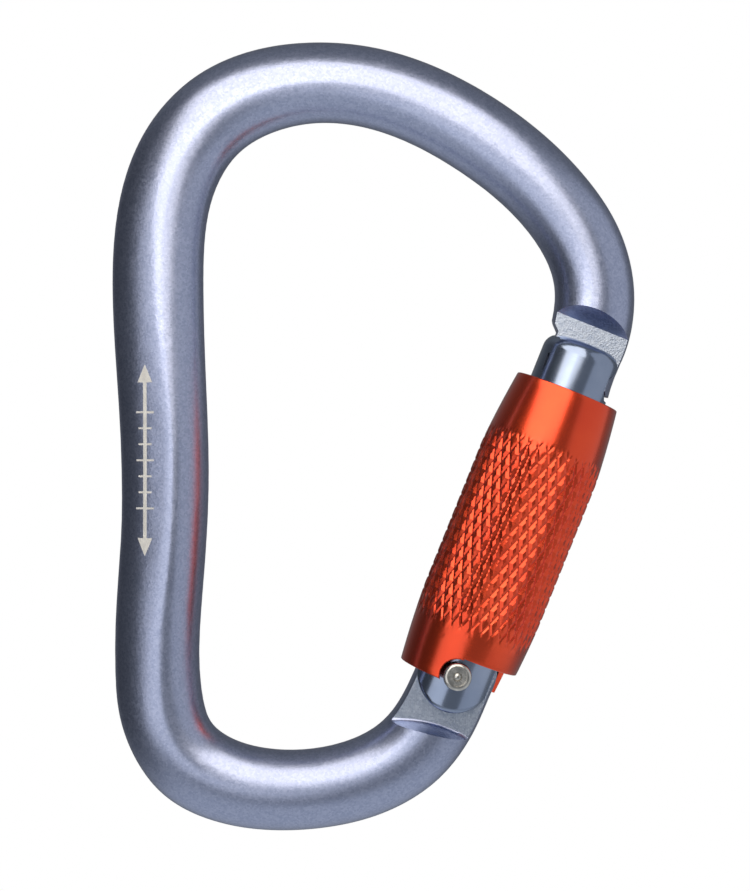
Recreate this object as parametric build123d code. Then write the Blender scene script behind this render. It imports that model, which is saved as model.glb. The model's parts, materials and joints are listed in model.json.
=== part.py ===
from build123d import *
import math
import os

# Locking carabiner: a forged pear-shaped frame, a solid keylock gate and a spring-loaded twist sleeve.
# X runs across the carabiner towards the gate, Y through its thickness and Z up. All lengths are in mm.
# The origin is the inner apex of the top basket, where a rope or a belay loop rests.
# Parts of the gate are drawn upright about the hinge pin, with X outwards, Y deep and Z along the gate,
# and are then placed with IN_CARABINER.

# ---- driving dimensions ----
BAR = 12.0  # diameter of the bar that the frame is forged from
KEEL_SHARPNESS = 1.7  # how pinched the spine's ridge is, for a ridge one bar radius off centre
BAR_SECTIONS = 34  # sections lofted along the frame
# Stations from the hinge, round the bottom, up the spine and over the top to the nose: the centre's
# X and Z, the bar's width in the plane, and how far its thickest line sits towards the rope side,
# as a share of the half width.
STATIONS = [
    (23.7, -75.9, 12.1, 0.00),
    (20.7, -83.3, 12.1, 0.00),
    (14.7, -94.1, 12.2, 0.00),
    (-0.5, -101.0, 12.0, 0.00),
    (-21.7, -94.9, 12.8, 0.05),
    (-24.8, -81.5, 12.8, 0.14),
    (-23.8, -62.6, 13.0, 0.26),
    (-23.7, -48.8, 13.3, 0.28),
    (-24.7, -24.5, 13.8, 0.14),
    (-21.9, -6.9, 13.5, 0.04),
    (-17.3, -0.2, 13.1, 0.00),
    (2.7, 5.9, 12.0, 0.00),
    (23.2, -1.6, 12.1, 0.00),
    (35.3, -11.9, 11.9, 0.00),
    (41.4, -28.6, 12.0, 0.00),
    (40.5, -33.1, 12.0, 0.00),
    (38.0, -39.6, 12.0, 0.00),
]

HINGE_X, HINGE_Z = 20.4, -83.2  # axis of the hinge pin
GATE_TILT = 21.9  # degrees that the gate leans outwards

TANG = 5.0  # thickness of the frame's hinge tang
CAM_RISE = 3.07  # how far the cam lifts the pusher per radian that the gate opens
CAM_GAP = 0.05  # clearance between the cam and the pusher's round foot
CAM_END = 35.0  # degrees at which the cam stops
ROOT_RADIUS, ROOT_SLOPE = 20.0, 0.34  # curved step where the tang meets the bar
ROOT_CENTRE = (2.1, -28.4)  # centre of that step, in gate axes
ROOT_FILLET = 0.5

NECK = 4.4  # thickness of the nose below the shoulder
SHOULDER = 56.1  # height of the nose's shoulder above the hinge
SHOULDER_SLOPE = 0.59  # rise of the shoulder's wall per millimetre of depth
KEY_INNER, KEY_OUTER = 46.8, 50.8  # radii of the keylock's head about the hinge
KEY_WIDTH = 6.8  # width of the keylock's head
NOSE_STOP = -4.8  # inner side of the nose, which meets the end of the gate's slot
KEY_CLEARANCE = 0.25

GATE_RADIUS = 6.05
GATE_TOP = 53.2
GATE_EDGE = 2.2  # round edge at the gate's head
GATE_HEEL = 5.85  # round end of the gate's fork, about the hinge
HEEL_EDGE = 0.8  # round edge of that end
FORK_SLOT = 5.2
FORK_DEPTH = 8.3
WAIST_RADIUS, WAIST_BOTTOM, WAIST_TOP = 5.4, 12.9, 40.8
SPRING_BORE, SPRING_BORE_END = 4.4, 27.0

PIN = 3.2  # diameter of the hinge rivet's shank
PIN_CLEARANCE = 0.03
RIVET_HEAD = 4.2
RIVET_FRONT, RIVET_BACK = 9.1, 6.8  # how far the heads reach from the middle

PUSHER_DIAMETER, PUSHER_FOOT, PUSHER_TOP = 4.3, 6.26, 13.2

SLEEVE_MID, SLEEVE_TOP_RADIUS, SLEEVE_FOOT_RADIUS = 9.25, 8.05, 8.37
SLEEVE_TOP, SLEEVE_UPPER, SLEEVE_LOWER = 45.6, 33.8, 11.0
SLEEVE_FOOT, SLEEVE_STEP = -1.3, 2.8  # ends of the long lobe and of the short side
STEP_ANGLE = 120.0  # how far round from the front the short side goes
SLEEVE_BORE, SLEEVE_MOUTH, MOUTH_TOP = 7.3, 7.65, 6.0
LIP_RADIUS, LIP_FOOT = 6.3, 44.4
RIVET_NOTCH = 2.6
SLEEVE_EDGE = 0.2

BUSH_BORE = 6.09
UPPER_BUSH = (41.2, 44.4)
LOWER_BUSH = (8.6, 11.4)
RING_GROOVE, RING_RADIUS, RING_THICK = 5.6, 6.95, 0.8
RING_GAP = 50.0  # degrees left open in each retaining ring
LOWER_RING, UPPER_RING = 7.7, 11.5  # undersides of the two rings

IN_CARABINER = Location((HINGE_X, 0, HINGE_Z), (0, GATE_TILT, 0))
BOTTOM = (Align.CENTER, Align.CENTER, Align.MIN)
ALONG_Y = Rot(-90, 0, 0)


def post(radius, bottom, top):
    """A round bar on the gate's axis."""
    return Pos(0, 0, bottom) * Cylinder(radius, top - bottom, align=BOTTOM)


def tube(outer, inner, bottom, top):
    return post(outer, bottom, top) - post(inner, bottom, top)


def crossbar(radius, start, end):
    """A round bar along Y, on the hinge."""
    return Pos(0, start, 0) * ALONG_Y * Cylinder(radius, end - start, align=BOTTOM)


def slab(x, y, z):
    """A box between pairs of limits."""
    size = [limits[1] - limits[0] for limits in (x, y, z)]
    middle = [(limits[0] + limits[1]) / 2 for limits in (x, y, z)]
    return Pos(*middle) * Box(*size)


# ---- frame ----
def station_values(centre):
    """For each station, how far along the centreline it is, its width and its keel."""
    return [(centre.param_at_point(Vector(x, 0, z)), width, keel) for x, z, width, keel in STATIONS]


def value_at(at, values, column):
    """A station value at a place between two stations, blended smoothly."""
    for before, after in zip(values, values[1:]):
        if at <= after[0]:
            share = (at - before[0]) / (after[0] - before[0])
            share = share * share * (3 - 2 * share)
            return before[column] + share * (after[column] - before[column])
    return values[-1][column]


def bar_section(centre, at, width, keel):
    """The bar's outline across its centreline: round without a keel, else an egg with a soft ridge."""
    along = centre % at
    plane = Plane(origin=centre @ at, x_dir=(-along.Z, 0, along.X), z_dir=along)
    half, depth = width / 2, BAR * BAR / width / 2
    pinch = 1 + KEEL_SHARPNESS * keel
    points = []
    for step in range(16):
        turn = math.tau * step / 16
        across = math.copysign(abs(math.cos(turn)) ** pinch, math.cos(turn))
        reach = half * (1 + keel) if across > 0 else half * (1 - keel)
        points.append((reach * across - keel * half, depth * math.sin(turn)))
    return plane * make_face(Spline(*points, periodic=True))


def forged_bar():
    up_the_gate = (math.sin(math.radians(GATE_TILT)), 0, math.cos(math.radians(GATE_TILT)))
    down_the_gate = [-part for part in up_the_gate]
    points = [(x, 0, z) for x, z, _, _ in STATIONS]
    centre = Spline(*points, tangents=[down_the_gate, down_the_gate])
    values = station_values(centre)
    sections = []
    for step in range(BAR_SECTIONS + 1):
        at = step / BAR_SECTIONS
        sections.append(bar_section(centre, at, value_at(at, values, 1), value_at(at, values, 2)))
    return loft(sections)


def milled_cheek():
    """Metal milled off one side of the hinge end, back to a curved and sloping step."""
    depth = 8
    block = slab((-9, 9), (TANG / 2, TANG / 2 + depth), (-18, 16))
    step = Cone(ROOT_RADIUS, ROOT_RADIUS - depth * ROOT_SLOPE, depth, align=BOTTOM)
    cut = block - Pos(ROOT_CENTRE[0], TANG / 2, ROOT_CENTRE[1]) * ALONG_Y * step
    return fillet(cut.edges().filter_by(GeomType.CIRCLE).sort_by(Axis.Y)[0], ROOT_FILLET)


def tang_end():
    """Metal beyond the tang's end, which is round about the hinge and rises into the pusher's cam."""
    ball, ball_height = PUSHER_DIAMETER / 2 + CAM_GAP, PUSHER_FOOT + PUSHER_DIAMETER / 2

    def under_ball(opening, lean):
        """A point on the pusher's ball, in the tang's axes, with the gate open by a number of degrees."""
        turn, height = math.radians(opening), ball_height + CAM_RISE * math.radians(opening)
        x, z = -ball * math.sin(lean), height - ball * math.cos(lean)
        return x * math.cos(turn) - z * math.sin(turn), x * math.sin(turn) + z * math.cos(turn)

    def cam_point(opening):
        return under_ball(opening, math.atan2(CAM_RISE, ball_height + CAM_RISE * math.radians(opening)))

    foot = under_ball(0, 0)
    side = foot[1] * math.sin(math.pi / 4)
    round_end = ThreePointArc((foot[1], 0), (side, side), foot)
    cradle = ThreePointArc(foot, under_ball(0, math.radians(10)), cam_point(0))
    cam = Spline(cam_point(0), cam_point(CAM_END / 2), cam_point(CAM_END))
    inner = Polyline(cam_point(CAM_END), (-7, 4.2), (-7, 0), (foot[1], 0))
    kept = extrude(Plane.XZ * make_face([round_end, cradle, cam, inner]), 9, both=True)
    return slab((-9, 9), (-9, 9), (0, 16)) - kept


def keyway(gap):
    """The keylock's head and neck, round about the hinge so that the gate can swing past them."""
    neck, head = NECK / 2 + gap, KEY_WIDTH / 2 + gap
    inner, outer = KEY_INNER - gap, KEY_OUTER + gap
    side = [(neck, 62), (neck, outer), (head, outer - 1.2), (head, inner + 1.0), (head - 1.0, inner)]
    outline = side + [(-y, z) for y, z in reversed(side)]
    return revolve(Plane.YZ * make_face(Polyline(*outline, close=True)), Axis.Y)


def milled_nose():
    """Metal milled off the nose to leave its neck and keylock head."""
    reach = 7
    wall = Polyline(
        (NECK / 2, 40), (NECK / 2, SHOULDER), (NECK / 2 + reach, SHOULDER + reach * SHOULDER_SLOPE),
        (NECK / 2 + reach, 40), close=True,
    )
    cheek = extrude(Plane.YZ * make_face(wall), 10, both=True)
    below = slab((-10, 10), (-10, 10), (38, KEY_OUTER - 1))
    outside = (cheek + mirror(cheek, Plane.XZ) + below) - keyway(0)
    corner, slope = GATE_TOP + 0.25, 1.7
    inside = Polyline(
        (-10, 38), (NOSE_STOP, 38), (NOSE_STOP, corner), (NOSE_STOP - slope, corner + slope),
        (-10, corner + slope), close=True,
    )
    return outside + extrude(Plane.XZ * make_face(inside), 10, both=True)


def make_frame():
    cheek = milled_cheek()
    cuts = [cheek, mirror(cheek, Plane.XZ), tang_end(), milled_nose()]
    cuts.append(crossbar(PIN / 2 + PIN_CLEARANCE, -10, 10))
    bar = forged_bar()
    for cut in cuts:
        bar -= IN_CARABINER * cut
    return bar


# ---- gate ----
def make_gate():
    gate = fillet(post(GATE_RADIUS, -GATE_HEEL, GATE_TOP).edges().sort_by(Axis.Z)[-1], GATE_EDGE)
    gate -= slab((-7, 7), (-7, 7), (-7, 0)) - crossbar(GATE_HEEL, -7, 7)
    gate -= slab((-7, 7), (-FORK_SLOT / 2, FORK_SLOT / 2), (-7, FORK_DEPTH))
    gate -= crossbar(PIN / 2, -7, 7)
    gate -= keyway(KEY_CLEARANCE) & slab((NOSE_STOP - KEY_CLEARANCE, 7), (-7, 7), (44, 60))
    gate -= post(SPRING_BORE / 2, FORK_DEPTH - 1, SPRING_BORE_END)
    gate -= tube(7, WAIST_RADIUS, WAIST_BOTTOM, WAIST_TOP)
    for bottom in (LOWER_RING, UPPER_RING):
        gate -= tube(7, RING_GROOVE, bottom, bottom + RING_THICK)
    gate -= spring_leg_hole()
    heel_edges = gate.edges().filter_by(lambda edge: (edge @ 0.5).Z < 0 and edge.bounding_box().size.X > 5)
    return fillet(heel_edges.filter_by(lambda edge: abs((edge @ 0.5).Y) > GATE_RADIUS - 1), HEEL_EDGE)


def spring_leg_hole():
    """The hole in the gate that holds the sleeve spring's lower leg."""
    return Pos(0, 0, TORSION_FOOT) * Rot(0, 90, 0) * Pos(0, 0, 4.4) * Cylinder(0.5, 2, align=BOTTOM)


def make_rivet():
    """Shank, a front head with a button in its round hollow, and a shallow back head."""
    shank = crossbar(PIN / 2, -RIVET_FRONT + 1, RIVET_BACK - 0.4)
    front = crossbar(RIVET_HEAD / 2, -RIVET_FRONT, -GATE_RADIUS)
    front = fillet(front.edges().sort_by(Axis.Y)[0], 0.55)
    front -= crossbar(1.45, -RIVET_FRONT - 1, -RIVET_FRONT + 0.6)
    front += Pos(0, -RIVET_FRONT + 1.1, 0) * Sphere(0.85)
    back = crossbar(RIVET_HEAD / 2, GATE_RADIUS, RIVET_BACK)
    back = fillet(back.edges().sort_by(Axis.Y)[-1], 0.3)
    return shank + front + back


# ---- springs and pusher ----
TORSION_FOOT, TORSION_TOP = 13.6, 40.2
TORSION_RADIUS, TORSION_WIRE, TORSION_TURNS = 6.6, 0.4, 8
PUSH_SPRING_RADIUS, PUSH_SPRING_WIRE, PUSH_SPRING_TURNS = 1.75, 0.3, 9


def coil(radius, wire, bottom, top, turns):
    """A coil spring on the gate's axis that starts on the X side, made of single turns joined."""
    pitch = (top - bottom) / turns
    path = Helix(pitch, pitch, radius)
    turn = sweep(Plane(origin=path @ 0, z_dir=path % 0) * Circle(wire), path)
    return Part() + [Pos(0, 0, bottom + pitch * step) * turn for step in range(turns)]


def make_sleeve_spring():
    leg = Pos(0, 0, TORSION_FOOT) * Rot(0, 90, 0) * Pos(0, 0, 4.6)
    leg = leg * Cylinder(TORSION_WIRE - 0.05, TORSION_RADIUS + 0.2 - 4.6, align=BOTTOM)
    return coil(TORSION_RADIUS, TORSION_WIRE, TORSION_FOOT, TORSION_TOP, TORSION_TURNS) + leg


def make_gate_spring():
    wire = PUSH_SPRING_WIRE
    bottom, top = PUSHER_TOP + wire + 0.02, SPRING_BORE_END - wire - 0.02
    return coil(PUSH_SPRING_RADIUS, wire, bottom, top, PUSH_SPRING_TURNS)


def make_pusher():
    """The plunger between the gate's spring and the tang's cam."""
    radius = PUSHER_DIAMETER / 2
    ball = Pos(0, 0, PUSHER_FOOT + radius) * Sphere(radius)
    pin = post(radius, PUSHER_FOOT + radius, PUSHER_TOP) + ball
    return pin + post(1.3, PUSHER_TOP, PUSHER_TOP + 1.8)


# ---- sleeve ----
def sleeve_barrel():
    """The turned barrel: straight in the middle, drawn in towards both ends, with its bores."""
    def bend(start, end):
        middle = ((start[0] + end[0]) / 2 + 0.12, (start[1] + end[1]) / 2)
        return ThreePointArc(start, middle, end)

    foot, lower = (SLEEVE_FOOT_RADIUS, SLEEVE_FOOT), (SLEEVE_MID, SLEEVE_LOWER)
    upper, top = (SLEEVE_MID, SLEEVE_UPPER), (SLEEVE_TOP_RADIUS, SLEEVE_TOP)
    outside = [bend(foot, lower), Line(lower, upper), bend(upper, top)]
    inside = Polyline(
        top, (LIP_RADIUS, SLEEVE_TOP), (LIP_RADIUS, LIP_FOOT), (SLEEVE_BORE, LIP_FOOT),
        (SLEEVE_BORE, MOUTH_TOP), (SLEEVE_MOUTH, MOUTH_TOP), (SLEEVE_MOUTH, SLEEVE_FOOT), foot,
    )
    return revolve(Plane.XZ * make_face([*outside, inside]), Axis.Z)


def make_sleeve():
    """The barrel with its stepped foot, the notch that the rivet's head stands in, and eased edges."""
    height = SLEEVE_STEP - SLEEVE_FOOT + 1
    quarter = Cylinder(12, height, arc_size=STEP_ANGLE, align=(Align.NONE, Align.NONE, Align.MIN))
    short_side = Pos(0, 0, SLEEVE_STEP - height) * Rot(0, 0, -90) * quarter
    sleeve = sleeve_barrel() - short_side - crossbar(RIVET_NOTCH, -12, -4)
    outer_edges = [
        edge for edge in sleeve.edges()
        if edge.bounding_box().max.Z < SLEEVE_STEP + 0.1 or edge.bounding_box().min.Z > SLEEVE_TOP - 0.1
        if math.hypot((edge @ 0).X, (edge @ 0).Y) > SLEEVE_MOUTH + 0.1
        if math.hypot((edge @ 1).X, (edge @ 1).Y) > SLEEVE_MOUTH + 0.1
    ]
    return fillet(outer_edges, SLEEVE_EDGE)


def bushing(limits):
    return tube(SLEEVE_BORE, BUSH_BORE, *limits)


def retaining_ring(bottom):
    """A sprung ring with a gap on its outer side."""
    ring = tube(RING_RADIUS, RING_GROOVE + 0.02, bottom, bottom + RING_THICK)
    align = (Align.NONE, Align.NONE, Align.MIN)
    gap = Cylinder(9, RING_THICK, arc_size=RING_GAP, align=align)
    return ring - Pos(0, 0, bottom) * Rot(0, 0, -RING_GAP / 2) * gap


# ---- files ----
os.makedirs("parts", exist_ok=True)
export_step(make_frame(), "parts/frame.step")
GATE_PARTS = {
    "gate": make_gate(),
    "hinge_rivet": make_rivet(),
    "pusher": make_pusher(),
    "gate_spring": make_gate_spring(),
    "sleeve": make_sleeve(),
    "sleeve_spring": make_sleeve_spring(),
    "upper_bushing": bushing(UPPER_BUSH),
    "lower_bushing": bushing(LOWER_BUSH),
    "lower_retaining_ring": retaining_ring(LOWER_RING),
    "upper_retaining_ring": retaining_ring(UPPER_RING),
}
for name, solid in GATE_PARTS.items():
    export_step(IN_CARABINER * solid, f"parts/{name}.step")
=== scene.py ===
# %% [markdown]
# # A locking carabiner
#
# The metal parts arrive as finished solids, already in their places. This lesson gives them their
# finishes: a bead-blasted blue-grey frame, a polished gate, a knurled orange-red sleeve and a bright
# rivet. Only three pieces are made here. The sleeve gets its knurl, whose hundreds of small facets are
# easier to grow from a grid than to carry in the solid. The gate's spring is copied to stand in for the
# solid one, and the spine gets its printed mark.

# %% Load the solids
import json
import math

import bmesh
import bpy
from mathutils import Matrix, Vector
from mathutils.bvhtree import BVHTree


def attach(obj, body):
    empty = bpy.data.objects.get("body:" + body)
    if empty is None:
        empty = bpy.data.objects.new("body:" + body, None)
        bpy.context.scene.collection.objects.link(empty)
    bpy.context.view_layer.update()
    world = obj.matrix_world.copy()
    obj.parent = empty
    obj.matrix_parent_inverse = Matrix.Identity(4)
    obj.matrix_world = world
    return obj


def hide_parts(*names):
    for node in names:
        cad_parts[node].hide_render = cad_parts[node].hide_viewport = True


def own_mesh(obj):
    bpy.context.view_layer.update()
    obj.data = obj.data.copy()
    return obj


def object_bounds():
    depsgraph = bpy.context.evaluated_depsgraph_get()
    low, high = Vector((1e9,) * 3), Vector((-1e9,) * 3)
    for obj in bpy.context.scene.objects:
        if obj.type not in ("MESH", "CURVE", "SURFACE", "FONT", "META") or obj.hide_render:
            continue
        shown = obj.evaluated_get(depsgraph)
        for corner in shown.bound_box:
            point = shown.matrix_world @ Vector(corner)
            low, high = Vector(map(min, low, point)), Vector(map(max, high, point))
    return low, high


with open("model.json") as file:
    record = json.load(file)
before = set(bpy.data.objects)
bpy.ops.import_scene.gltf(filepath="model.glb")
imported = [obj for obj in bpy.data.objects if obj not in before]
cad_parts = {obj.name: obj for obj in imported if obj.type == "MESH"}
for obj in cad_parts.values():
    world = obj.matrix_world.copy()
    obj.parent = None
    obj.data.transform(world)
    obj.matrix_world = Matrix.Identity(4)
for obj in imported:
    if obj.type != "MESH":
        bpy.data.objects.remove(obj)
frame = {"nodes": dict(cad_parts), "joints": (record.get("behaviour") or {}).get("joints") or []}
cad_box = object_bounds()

MM = 0.001
nodes = frame["nodes"]
print("pieces:", ", ".join(sorted(nodes)))

# %% [markdown]
# ## The gate's own axes
#
# The gate leans outwards, so its turned parts are easiest to describe upright: X outwards, Y through
# the thickness, Z along the gate, with zero on the hinge pin. The joints already know where the hinge
# is and which way the sleeve turns, so the matrix between the two sets of axes comes from them.

# %% Find the hinge and the gate's direction
joints = {joint["name"]: joint for joint in frame["joints"]}
hinge = Vector(joints["gate_swing"]["pos_m"])
along_gate = -Vector(joints["sleeve_twist"]["axis"]).normalized()
outward = Vector((along_gate.z, 0, -along_gate.x))
gate_axes = Matrix((outward, Vector((0, 1, 0)), along_gate)).transposed().to_4x4()
from_gate = Matrix.Translation(hinge) @ gate_axes
to_gate = from_gate.inverted()
GATE_LEAN = math.atan2(along_gate.x, along_gate.z)
print("gate leans", round(math.degrees(GATE_LEAN), 1), "degrees")

# %% [markdown]
# ## Camera
#
# The carabiner is seen square on, from about a forearm's length. A long lens keeps the perspective
# mild, so the round bar hides very little of itself.

# %% Camera
CAMERA_DISTANCE = 310 * MM
VIEW_HEIGHT = 135.2 * MM
SENSOR = 36.0
AIM = Vector((8.23 * MM, 0, -49.04 * MM))

camera_data = bpy.data.cameras.new("camera")
camera_data.sensor_width = SENSOR
camera_data.lens = SENSOR * CAMERA_DISTANCE / VIEW_HEIGHT
camera_data.clip_start = 0.01
camera = bpy.data.objects.new("camera", camera_data)
camera.location = AIM - Vector((0, CAMERA_DISTANCE, 0))
camera.rotation_euler = (math.radians(90), 0, 0)
bpy.context.scene.collection.objects.link(camera)
bpy.context.scene.camera = camera
print("lens", round(camera_data.lens, 1), "mm")

# %% [markdown]
# ## Small helpers for shaders
#
# Each finish is a node tree. These helpers keep the trees short: they add a node with its values,
# start a material on object coordinates, and make a colour, a number or a bump out of a pattern.

# %% Node helpers
def add_node(tree, kind, values=None, **settings):
    """A node of that kind, with its settings and the values of its inputs."""
    node = tree.nodes.new(kind)
    for name, value in settings.items():
        setattr(node, name, value)
    for name, value in (values or {}).items():
        if isinstance(value, bpy.types.NodeSocket):
            tree.links.new(value, node.inputs[name])
        else:
            node.inputs[name].default_value = value
    return node


def new_material(name, **values):
    """A material with its Principled BSDF's values set, and the object's coordinates to build on."""
    material = bpy.data.materials.new(name)
    material.use_nodes = True
    tree = material.node_tree
    shader = tree.nodes["Principled BSDF"]
    for socket, value in values.items():
        shader.inputs[socket.replace("_", " ")].default_value = value
    place = add_node(tree, "ShaderNodeTexCoord").outputs["Object"]
    return material, tree, shader, place


def blend_colors(tree, share, low, high):
    """A colour between low and high."""
    node = add_node(tree, "ShaderNodeMix", data_type="RGBA")
    tree.links.new(share, node.inputs["Factor"])
    node.inputs["A"].default_value = low
    node.inputs["B"].default_value = high
    return node.outputs["Result"]


def spread(tree, share, low, high):
    """A number from low to high as share goes from 0 to 1."""
    node = add_node(tree, "ShaderNodeMapRange", {"Value": share, "To Min": low, "To Max": high})
    return node.outputs["Result"]


def multiply(tree, first, second):
    return add_node(tree, "ShaderNodeMath", {0: first, 1: second}, operation="MULTIPLY").outputs[0]


def bump(tree, shader, height, distance, strength):
    """Dents in the shader's surface."""
    node = add_node(tree, "ShaderNodeBump", {"Height": height, "Distance": distance, "Strength": strength})
    tree.links.new(node.outputs["Normal"], shader.inputs["Normal"])

# %% [markdown]
# ## Three shared effects
#
# A bead-blasted surface is covered with tiny dents that each catch the light on their own, so it looks
# grainy where it is bright. Handling leaves soft, larger patches that are a little smoother or duller.
# A lathe leaves fine rings round the axis of the work. Each effect appears in several metals, so each
# is one node group with its size as an input.

# %% Node groups for grain, handling and lathe rings
def new_group(name, inputs, outputs):
    """A node group that takes a place and those numbers, with its input and output nodes."""
    group = bpy.data.node_groups.new(name, "ShaderNodeTree")
    group.interface.new_socket("Vector", in_out="INPUT", socket_type="NodeSocketVector")
    for label, value in inputs.items():
        socket = group.interface.new_socket(label, in_out="INPUT", socket_type="NodeSocketFloat")
        socket.default_value = value
    for label in outputs:
        group.interface.new_socket(label, in_out="OUTPUT", socket_type="NodeSocketFloat")
    return group, group.nodes.new("NodeGroupInput"), group.nodes.new("NodeGroupOutput")


def make_grain_group():
    """Blasted dents: a height for bump, and a speckle for colour and roughness."""
    group, given, result = new_group("blasted grain", {"Scale": 4000.0}, ("Height", "Speckle"))
    where, scale = given.outputs["Vector"], given.outputs["Scale"]
    fine = add_node(group, "ShaderNodeTexNoise", {"Vector": where, "Scale": scale, "Detail": 2.0})
    dents = add_node(group, "ShaderNodeTexVoronoi", {"Vector": where, "Scale": scale})
    height = add_node(group, "ShaderNodeMath", {0: fine.outputs["Fac"], 1: dents.outputs["Distance"]})
    group.links.new(height.outputs[0], result.inputs["Height"])
    speckle = add_node(group, "ShaderNodeSeparateColor", {"Color": dents.outputs["Color"]})
    group.links.new(speckle.outputs["Red"], result.inputs["Speckle"])
    return group


def make_handling_group():
    """Soft uneven patches, from 0 to 1."""
    group, given, result = new_group("handling", {"Scale": 120.0}, ("Patch",))
    cloud = add_node(
        group, "ShaderNodeTexNoise",
        {"Vector": given.outputs["Vector"], "Scale": given.outputs["Scale"], "Detail": 4.0},
    )
    patch = add_node(
        group, "ShaderNodeMapRange",
        {"Value": cloud.outputs["Fac"], "From Min": 0.3, "From Max": 0.7}, interpolation_type="SMOOTHSTEP",
    )
    group.links.new(patch.outputs["Result"], result.inputs["Patch"])
    return group


def make_rings_group():
    """Fine lathe rings round the Z axis, from 0 to 1."""
    group, given, result = new_group("turned rings", {"Scale": 900.0}, ("Ring",))
    wave = add_node(
        group, "ShaderNodeTexWave",
        {
            "Vector": given.outputs["Vector"], "Scale": given.outputs["Scale"],
            "Distortion": 1.5, "Detail": 3.0,
        },
        bands_direction="Z",
    )
    group.links.new(wave.outputs["Fac"], result.inputs["Ring"])
    return group


GRAIN = make_grain_group()
HANDLING = make_handling_group()
RINGS = make_rings_group()


def use_group(tree, group, place, scale):
    """The outputs of that group, placed in a material."""
    node = add_node(tree, "ShaderNodeGroup", node_tree=group)
    tree.links.new(place, node.inputs["Vector"])
    node.inputs["Scale"].default_value = scale
    return node.outputs

print("groups:", ", ".join(group.name for group in (GRAIN, HANDLING, RINGS)))

# %% [markdown]
# ## Blasted alloy
#
# The forged frame is blasted with fine beads and then anodised a cool grey-blue. The metal is rough
# enough to turn a lamp into a broad soft stripe. Where a cutter milled it flat before blasting, the
# grain is coarser and brighter, so the flats sparkle.

# %% Frame finishes
HANDLED_ROUGHNESS = 0.08


def blasted_alloy(name, low, high, rough, grain_scale, depth, strength):
    """Grainy metal, a little rougher where the speckle and the handling meet."""
    material, tree, shader, place = new_material(name, Metallic=1.0)
    grain = use_group(tree, GRAIN, place, grain_scale)
    patch = use_group(tree, HANDLING, place, 90.0)["Patch"]
    tree.links.new(blend_colors(tree, grain["Speckle"], low, high), shader.inputs["Base Color"])
    worn = multiply(tree, grain["Speckle"], patch)
    roughness = spread(tree, worn, rough, rough + HANDLED_ROUGHNESS)
    tree.links.new(roughness, shader.inputs["Roughness"])
    bump(tree, shader, grain["Height"], depth, strength)
    return material


FRAME_FINISH = blasted_alloy(
    "blasted blue-grey alloy", (0.34, 0.385, 0.56, 1), (0.45, 0.495, 0.68, 1), 0.29, 3600.0, 0.02 * MM, 0.35)
MILLED_FINISH = blasted_alloy(
    "milled and blasted alloy", (0.38, 0.44, 0.57, 1), (0.56, 0.62, 0.74, 1), 0.34, 3400.0, 0.03 * MM, 0.6)
print("frame finishes:", FRAME_FINISH.name, "and", MILLED_FINISH.name)

# %% Give the milled flats their own slot
MILLED_DEPTHS = (2.5 * MM, 2.2 * MM)
MILLED_MARGIN = 0.005 * MM
body = nodes["frame"].data
body.materials.clear()
body.materials.append(FRAME_FINISH)
body.materials.append(MILLED_FINISH)
flats = 0
for face in body.polygons:
    on_flat = min(abs(abs(face.center.y) - depth) for depth in MILLED_DEPTHS) < MILLED_MARGIN
    if on_flat and abs(face.normal.y) > 0.99:
        face.material_index = 1
        flats += 1
print("milled faces:", flats)

# %% [markdown]
# ## Polished alloy
#
# The gate was turned on a lathe and polished before anodising, which leaves faint rings round its
# axis. The Mapping node stands the pattern upright on the leaning gate.

# %% Gate finish
def gate_place(tree, place):
    """Object coordinates turned so that Z runs along the gate."""
    moved = add_node(tree, "ShaderNodeMapping", {"Vector": place}, vector_type="TEXTURE")
    moved.inputs["Location"].default_value = hinge
    moved.inputs["Rotation"].default_value = (0, GATE_LEAN, 0)
    return moved.outputs["Vector"]


def polished_alloy():
    """Blue-grey metal with lathe rings."""
    material, tree, shader, place = new_material(
        "polished blue-grey alloy", Metallic=1.0, Coat_Weight=0.2, Coat_Roughness=0.12)
    upright = gate_place(tree, place)
    rings = use_group(tree, RINGS, upright, 900.0)["Ring"]
    patch = use_group(tree, HANDLING, upright, 160.0)["Patch"]
    color = blend_colors(tree, patch, (0.27, 0.33, 0.47, 1), (0.33, 0.39, 0.53, 1))
    tree.links.new(color, shader.inputs["Base Color"])
    tree.links.new(spread(tree, rings, 0.15, 0.22), shader.inputs["Roughness"])
    bump(tree, shader, rings, 0.003 * MM, 0.3)
    return material


GATE_FINISH = polished_alloy()
nodes["gate"].data.materials[0] = GATE_FINISH
print("gate finish:", GATE_FINISH.name)

# %% [markdown]
# ## Steel and plastic
#
# The rivet is bright stainless steel, a little scuffed by the tool that formed its head. The springs,
# rings and the pusher are drawn or stamped steel. The bushings are black acetal, which has a dull
# moulded skin.

# %% Steel and acetal finishes
def worn_surface(name, low, high, rough, patch_scale, grain_scale, dents, **values):
    """Patches from the low colour and roughness to the high, and dents of that depth and strength."""
    material, tree, shader, place = new_material(name, **values)
    patch = use_group(tree, HANDLING, place, patch_scale)["Patch"]
    grain = use_group(tree, GRAIN, place, grain_scale)
    tree.links.new(blend_colors(tree, patch, low, high), shader.inputs["Base Color"])
    tree.links.new(spread(tree, patch, *rough), shader.inputs["Roughness"])
    bump(tree, shader, grain["Height"], *dents)
    return material


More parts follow.
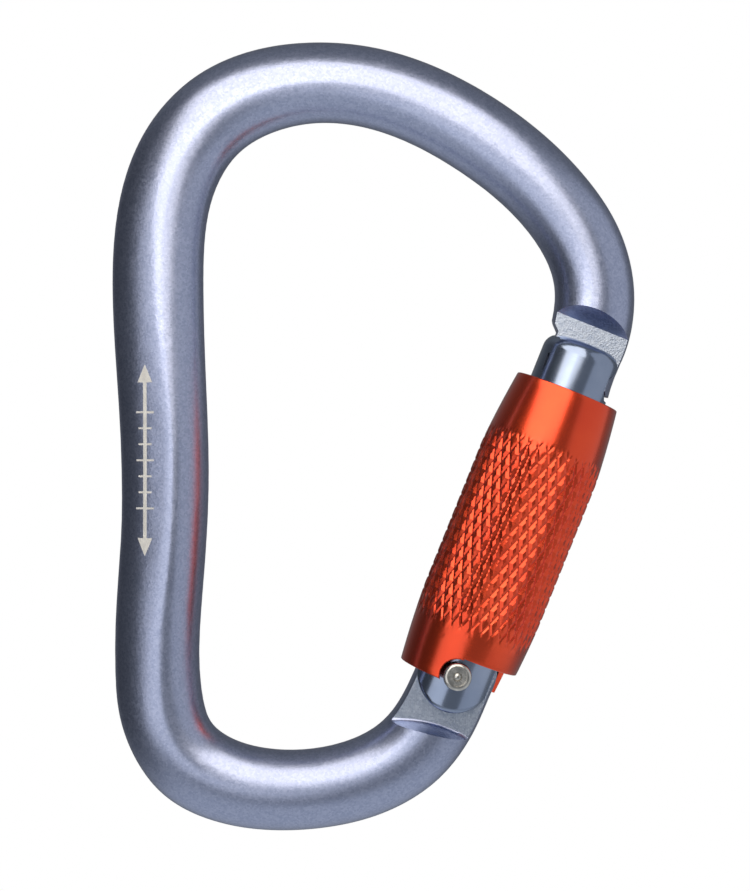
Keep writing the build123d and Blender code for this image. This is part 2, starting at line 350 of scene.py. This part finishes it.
RIVET_STEEL = worn_surface(
    "rivet steel", (0.50, 0.49, 0.47, 1), (0.68, 0.66, 0.63, 1), (0.16, 0.28), 900.0, 5200.0,
    (0.01 * MM, 0.2), Metallic=1.0)
SPRING_STEEL = worn_surface(
    "spring steel", (0.36, 0.36, 0.36, 1), (0.50, 0.49, 0.48, 1), (0.26, 0.38), 500.0, 5200.0,
    (0.01 * MM, 0.2), Metallic=1.0)
ACETAL = worn_surface(
    "black acetal", (0.018, 0.018, 0.02, 1), (0.032, 0.032, 0.035, 1), (0.45, 0.58), 400.0, 3000.0,
    (0.02 * MM, 0.3), Specular_IOR_Level=0.4)
nodes["hinge_rivet"].data.materials[0] = RIVET_STEEL
for name in ("pusher", "sleeve_spring", "lower_retaining_ring", "upper_retaining_ring"):
    nodes[name].data.materials[0] = SPRING_STEEL
for name in ("upper_bushing", "lower_bushing"):
    nodes[name].data.materials[0] = ACETAL
print("small parts: rivet steel, spring steel and black acetal")

# %% [markdown]
# ## The knurled sleeve
#
# On the lathe, two families of V grooves are cut across each other at a steep angle, and what is left
# between them is a field of small diamonds with flat tops. The barrel narrows at both ends while the
# grooves keep one depth from the axis, so each groove runs out into a point.
#
# The sleeve keeps its turned ends, bore and stepped foot from the solid. A band of its outside is cut
# away and a grid is wrapped in its place. The grid's upright lines follow one family of grooves and
# its diagonals follow the other, so every groove lies on edges and its bottom stays sharp.

# %% Barrel and knurl sizes
SLEEVE_MID, SLEEVE_TOP_RADIUS, SLEEVE_FOOT_RADIUS = 9.25, 8.05, 8.37
SLEEVE_TOP, SLEEVE_UPPER, SLEEVE_LOWER, SLEEVE_FOOT = 45.6, 33.8, 11.0, -1.3
BARREL_BULGE = 0.12
GROOVES = 36
GROOVE_ANGLE = math.radians(23)
GROOVE_RADIUS = 9.0
GROOVE_SHARE = 1 / 3
STEPS = 6
BAND_FOOT, BAND_ROWS = 5.2, 18


def barrel_radius(height):
    """The barrel's radius at a height along the gate, all in millimetres."""
    if height < SLEEVE_LOWER:
        share, end = (SLEEVE_LOWER - height) / (SLEEVE_LOWER - SLEEVE_FOOT), SLEEVE_FOOT_RADIUS
    else:
        share, end = max(0, (height - SLEEVE_UPPER) / (SLEEVE_TOP - SLEEVE_UPPER)), SLEEVE_TOP_RADIUS
    return SLEEVE_MID + (end - SLEEVE_MID) * share + BARREL_BULGE * 4 * share * (1 - share)


groove_pitch = math.tau * SLEEVE_MID / GROOVES
row_height = groove_pitch / (2 * math.tan(GROOVE_ANGLE))
BAND_TOP = BAND_FOOT + BAND_ROWS * row_height
print("knurl from", BAND_FOOT, "to", round(BAND_TOP, 1), "mm, diamonds", round(2 * row_height, 2), "mm tall")

# %% Wrap the knurl round the barrel
def groove_distance(place):
    """How far a place is from the nearest groove, as a share of the pitch."""
    return abs(place - round(place))


def knurl_radius(around, height):
    """The surface's radius, where around counts pitches along one row."""
    row = (height - BAND_FOOT) / row_height
    nearest = min(groove_distance(around - row / 2), groove_distance(around + row / 2))
    depth = SLEEVE_MID - GROOVE_RADIUS
    wall = GROOVE_RADIUS + depth * nearest / GROOVE_SHARE
    return min(barrel_radius(height), wall)


def knurl_band():
    """The knurled band in the gate's axes, in metres, open at both ends."""
    band = bmesh.new()
    columns, rows = GROOVES * STEPS, BAND_ROWS * STEPS
    bmesh.ops.create_grid(band, x_segments=columns, y_segments=rows, size=0.5)
    bmesh.ops.triangulate(band, faces=band.faces, quad_method="ALTERNATE")
    for vertex in band.verts:
        column, row = (vertex.co.x + 0.5) * GROOVES, (vertex.co.y + 0.5) * BAND_ROWS
        around, height = column + row / 2, BAND_FOOT + row * row_height
        radius, angle = knurl_radius(around, height) * MM, math.tau * around / GROOVES
        vertex.co = (radius * math.cos(angle), radius * math.sin(angle), height * MM)
    bmesh.ops.remove_doubles(band, verts=band.verts, dist=0.001 * MM)
    return band


band = knurl_band()
print("knurl faces:", len(band.faces), "open edges:", sum(edge.is_boundary for edge in band.edges))

# %% [markdown]
# The solid's triangles are loose, so a copy of them is merged first. Two planes cut the copy just
# beyond the knurl, the outside between them goes, and the band is bridged to what is left.

# %% Join the knurl to the turned ends
OUTSIDE_RADIUS = 8.2
MERGE = 0.002 * MM


def outside_band(face):
    """Whether a face lies on the sleeve's outside where the knurl goes."""
    centre = face.calc_center_median()
    inside = BAND_FOOT * MM < centre.z < BAND_TOP * MM
    return inside and math.hypot(centre.x, centre.y) > OUTSIDE_RADIUS * MM


def boundary_edges(sheet, height):
    """The open edges at a height along the gate."""
    return [
        edge for edge in sheet.edges
        if edge.is_boundary and all(abs(vertex.co.z - height * MM) < 0.01 * MM for vertex in edge.verts)
    ]


def join_sleeve(band):
    """The solid's ends, bore and foot, with the knurled band between."""
    sleeve = bmesh.new()
    sleeve.from_mesh(nodes["sleeve"].data)
    sleeve.transform(to_gate)
    bmesh.ops.remove_doubles(sleeve, verts=sleeve.verts, dist=MERGE)
    for height in (BAND_FOOT, BAND_TOP):
        everything = sleeve.verts[:] + sleeve.edges[:] + sleeve.faces[:]
        bmesh.ops.bisect_plane(sleeve, geom=everything, plane_co=(0, 0, height * MM), plane_no=(0, 0, 1))
    gone = [face for face in sleeve.faces if outside_band(face)]
    bmesh.ops.delete(sleeve, geom=gone, context="FACES")
    rims = {height: boundary_edges(sleeve, height) for height in (BAND_FOOT, BAND_TOP)}
    carried = bpy.data.meshes.new("knurl band")
    band.to_mesh(carried)
    sleeve.from_mesh(carried)
    for height, rim in rims.items():
        known = set(rim)
        other = [edge for edge in boundary_edges(sleeve, height) if edge not in known]
        bmesh.ops.bridge_loops(sleeve, edges=rim + other)
    return sleeve


sleeve = join_sleeve(band)
print("sleeve faces:", len(sleeve.faces), "open edges:", sum(edge.is_boundary for edge in sleeve.edges))

# %% Finish the sleeve's mesh
def finish_mesh(shape, name, matrix, fold=14):
    """Turns a bmesh into an object with smooth faces and sharp edges where it folds, in degrees."""
    shape.transform(matrix)
    bmesh.ops.triangulate(shape, faces=shape.faces, quad_method="FIXED")
    bmesh.ops.recalc_face_normals(shape, faces=shape.faces)
    for face in shape.faces:
        face.smooth = True
    for edge in shape.edges:
        edge.smooth = edge.is_boundary or edge.calc_face_angle(0) < math.radians(fold)
    mesh = bpy.data.meshes.new(name)
    shape.to_mesh(mesh)
    shape.free()
    piece = bpy.data.objects.new(name, mesh)
    bpy.context.scene.collection.objects.link(piece)
    print(name, "faces:", len(mesh.polygons))
    return piece


knurled_sleeve = finish_mesh(sleeve, "knurled_sleeve", from_gate)

# %% [markdown]
# Red anodising is a dyed glassy skin on bright metal. The metal under it gives a deep red mirror,
# and the skin adds a thin colourless gloss. Lathe rings show faintly on the plain ends.

# %% Sleeve finish
def anodised_red():
    """A deep red metal under a thin clear gloss."""
    material, tree, shader, place = new_material(
        "orange-red anodised alloy", Metallic=1.0, Coat_Weight=0.8, Coat_Roughness=0.2)
    upright = gate_place(tree, place)
    rings = use_group(tree, RINGS, upright, 700.0)["Ring"]
    patch = use_group(tree, HANDLING, upright, 140.0)["Patch"]
    grain = use_group(tree, GRAIN, upright, 5000.0)
    color = blend_colors(tree, patch, (0.86, 0.058, 0.010, 1), (0.92, 0.074, 0.012, 1))
    tree.links.new(color, shader.inputs["Base Color"])
    tree.links.new(spread(tree, rings, 0.23, 0.26), shader.inputs["Roughness"])
    bump(tree, shader, grain["Height"], 0.004 * MM, 0.15)
    return material


knurled_sleeve.data.materials.append(anodised_red())
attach(knurled_sleeve, "sleeve")
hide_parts("sleeve")

# %% [markdown]
# ## The spring in the gate
#
# The pusher presses this spring as the gate opens. The solid can't change its length, and the copy
# that takes its place keeps that length too: its points are merged, its faces smoothed, and it rides
# with the gate.

coil = bmesh.new()
coil.from_mesh(nodes["gate_spring"].data)
bmesh.ops.remove_doubles(coil, verts=coil.verts, dist=0.001 * MM)
pressed_spring = finish_mesh(coil, "pressed_spring", Matrix.Identity(4), fold=60)
pressed_spring.data.materials.append(SPRING_STEEL)
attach(pressed_spring, "gate")
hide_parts("gate_spring")
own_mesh(pressed_spring)

# %% [markdown]
# ## The printed mark
#
# The spine carries a pale print. Here it is a plain load mark: a long two-headed arrow along the
# strong axis, with a few ticks. It is made as a flat shape and then laid on the bar by casting each
# point straight back on to the surface, so it follows the curve.

# %% Lay the mark on the spine
MARK_TOP, MARK_FOOT = -37.0, -65.5
MARK_X = -26.2
MARK_LIFT = 0.02
HEAD_LENGTH, HEAD_HALF, HEAD_TIP, LINE_HALF = 2.6, 1.15, 0.06, 0.28
TICKS, TICK_STEP, TICK_HALF = 3, 2.4, 0.14
LONG_TICK, SHORT_TICK = 1.1, 0.75


def flat_strip(shape, low, high, width_low, width_high, rows, middle=MARK_X):
    """A strip from one height to another whose half width changes evenly."""
    made = bmesh.ops.create_grid(shape, x_segments=2, y_segments=rows, size=0.5)
    for vertex in made["verts"]:
        share = vertex.co.y + 0.5
        half = width_low + (width_high - width_low) * share
        vertex.co = ((middle + 2 * vertex.co.x * half) * MM, 0, (low + (high - low) * share) * MM)


def printed_mark():
    """A flat arrow with a head at each end and ticks on both sides, the middle and end ones longer."""
    shape = bmesh.new()
    upper_neck, lower_neck = MARK_TOP - HEAD_LENGTH, MARK_FOOT + HEAD_LENGTH
    flat_strip(shape, lower_neck, upper_neck, LINE_HALF, LINE_HALF, 40)
    flat_strip(shape, upper_neck, MARK_TOP, HEAD_HALF, HEAD_TIP, 6)
    flat_strip(shape, MARK_FOOT, lower_neck, HEAD_TIP, HEAD_HALF, 6)
    middle = (MARK_TOP + MARK_FOOT) / 2
    for tick in range(-TICKS, TICKS + 1):
        height = middle + tick * TICK_STEP
        reach = LONG_TICK if tick % TICKS == 0 else SHORT_TICK
        for side in (-1, 1):
            centre = MARK_X + side * (LINE_HALF + reach / 2)
            flat_strip(shape, height - TICK_HALF, height + TICK_HALF, reach / 2, reach / 2, 1, centre)
    return shape


def lay_on_spine(shape):
    """Moves each point straight back until it meets the frame."""
    surface = BVHTree.FromPolygons(
        [vertex.co for vertex in body.vertices], [face.vertices[:] for face in body.polygons])
    for vertex in shape.verts:
        start = Vector((vertex.co.x, -0.05, vertex.co.z))
        hit, _, _, _ = surface.ray_cast(start, Vector((0, 1, 0)))
        vertex.co = hit - Vector((0, MARK_LIFT * MM, 0))


mark = printed_mark()
lay_on_spine(mark)
bmesh.ops.solidify(mark, geom=mark.faces, thickness=2 * MARK_LIFT * MM)
load_mark = finish_mesh(mark, "load_mark", Matrix.Identity(4))

# %% Print finish
PRINT = worn_surface(
    "pale print", (0.62, 0.61, 0.60, 1), (0.74, 0.73, 0.71, 1), (0.5, 0.62), 700.0, 3600.0,
    (0.02 * MM, 0.25), Specular_IOR_Level=0.35)
load_mark.data.materials.append(PRINT)
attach(load_mark, "frame")

# %% [markdown]
# ## Studio
#
# Shiny metal shows what surrounds it, so the lighting is mostly a matter of what it reflects: a warm
# sheet close above the camera for the broad stripe, a weaker one on the left, a dim wide panel on the
# right, and a grey room that draws the rims. The camera sees the floor and the backdrop as plain white,
# but the metal reflects the grey room instead, so that the white doesn't wash it out.

# %% Floor and backdrop
def glow_for_camera(tree, output):
    """Joins a plain white glow, which only the camera sees, to that output; returns the free socket."""
    eye = add_node(tree, "ShaderNodeLightPath").outputs["Is Camera Ray"]
    white = add_node(tree, "ShaderNodeEmission", {"Strength": 1.0})
    mix = add_node(tree, "ShaderNodeMixShader", {0: eye})
    tree.links.new(white.outputs[0], mix.inputs[2])
    tree.links.new(mix.outputs[0], tree.nodes[output].inputs["Surface"])
    return mix.inputs[1]


FLOOR_GAP, FLOOR_SIZE = 0.5 * MM, 4.0


def pale_floor():
    """A wide sheet just below the model, which only the camera sees."""
    sheet = bmesh.new()
    bmesh.ops.create_grid(sheet, x_segments=1, y_segments=1, size=FLOOR_SIZE)
    bmesh.ops.translate(sheet, verts=sheet.verts, vec=(0, 0, cad_box[0][2] - FLOOR_GAP))
    mesh = bpy.data.meshes.new("floor")
    sheet.to_mesh(mesh)
    sheet.free()
    floor = bpy.data.objects.new("floor", mesh)
    bpy.context.scene.collection.objects.link(floor)
    floor.visible_glossy = floor.visible_diffuse = floor.visible_shadow = False
    material, tree, shader, _ = new_material("pale floor", Base_Color=(0.8, 0.8, 0.8, 1), Roughness=0.8)
    tree.links.new(shader.outputs[0], glow_for_camera(tree, "Material Output"))
    mesh.materials.append(material)
    return floor


def ramp(tree, value, low, high, start, end):
    """A number from start to end as the value goes smoothly from low to high."""
    limits = {"From Min": low, "From Max": high, "To Min": start, "To Max": end}
    node = add_node(
        tree, "ShaderNodeMapRange", {"Value": value, **limits}, interpolation_type="SMOOTHSTEP")
    return node.outputs["Result"]


def dim_room():
    """To the metal the room is pale below, grey in front and darker behind and on the left."""
    world = bpy.data.worlds.new("studio")
    bpy.context.scene.world = world
    world.use_nodes = True
    tree = world.node_tree
    direction = add_node(tree, "ShaderNodeTexCoord").outputs["Generated"]
    toward = add_node(tree, "ShaderNodeSeparateXYZ", {"Vector": direction}).outputs
    floor_glow = ramp(tree, toward["Z"], -0.80, -0.30, 0.62, 0.24)
    left_dark = ramp(tree, toward["X"], -0.95, -0.45, 0.35, 1.0)
    back_dark = ramp(tree, toward["Y"], 0.10, 0.90, 1.0, 0.7)
    room = tree.nodes["Background"]
    room.inputs["Color"].default_value = (0.93, 0.97, 1.0, 1)
    strength = multiply(tree, floor_glow, multiply(tree, left_dark, back_dark))
    tree.links.new(strength, room.inputs["Strength"])
    tree.links.new(room.outputs[0], glow_for_camera(tree, "World Output"))


pale_floor()
dim_room()
print("floor and room are in place")

# %% Lamps
def softbox(name, place, target, width, height, radiance, color):
    """A soft panel at a place, facing a target; both are measured in millimetres from the aim point."""
    place, target = Vector(place) * MM, Vector(target) * MM
    data = bpy.data.lights.new(name, "AREA")
    data.shape = "RECTANGLE"
    data.size, data.size_y = width * MM, height * MM
    data.energy = radiance * math.pi * data.size * data.size_y
    data.color = color
    lamp = bpy.data.objects.new(name, data)
    lamp.location = AIM + place
    lamp.rotation_euler = (place - target).to_track_quat("Z", "Y").to_euler()
    bpy.context.scene.collection.objects.link(lamp)


softbox("key sheet", (-14, -128, 76), (-10, -60, -20), 168, 180, 2.2, (1.0, 0.92, 0.80))
softbox("left sheet", (-105, -200, -22), (0, -20, -5), 200, 195, 0.85, (1.0, 0.99, 0.97))
softbox("right panel", (670, -190, 60), (0, 0, 0), 1000, 1100, 0.36, (0.97, 0.98, 1.0))
bpy.context.scene.view_settings.view_transform = "Standard"

# %% [markdown]
# ## Finish

# %% Finish
print("finished")
